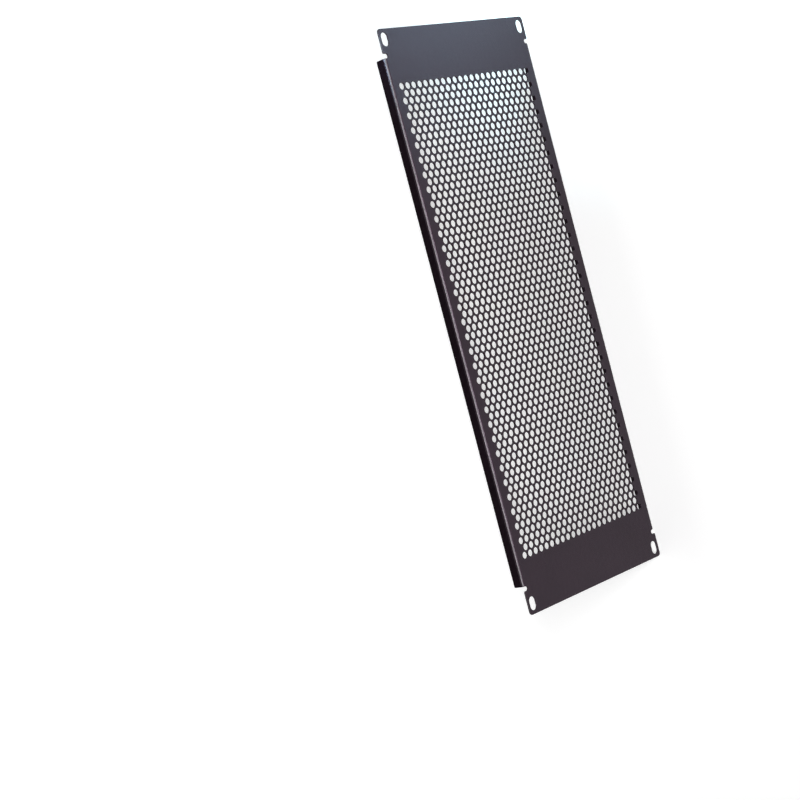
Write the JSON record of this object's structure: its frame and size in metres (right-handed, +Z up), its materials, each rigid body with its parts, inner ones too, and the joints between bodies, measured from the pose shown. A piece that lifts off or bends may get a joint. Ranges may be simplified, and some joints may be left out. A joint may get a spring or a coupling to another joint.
{
  "type": "rack blanking panel",
  "caption": "Vented rack blanking panel folded from steel sheet, with a perforated face, slotted mounting ears and return flanges behind both long edges.",
  "frame": {"origin": "middle of the rectangle of mounting slots, on the rear plane of the ears, which bears on the rack rails", "axes": "+X along the 19 inch width, +Z up the rack, +Y to the rear of the rack, so the face looks towards -Y"},
  "size_m": [0.4826, 0.01, 0.177],
  "materials": {
    "powder_coat": "fine-textured satin black powder coat"
  },
  "bodies": {
    "root": {"blanking_panel": "powder_coat"}
  },
  "joints": []
}
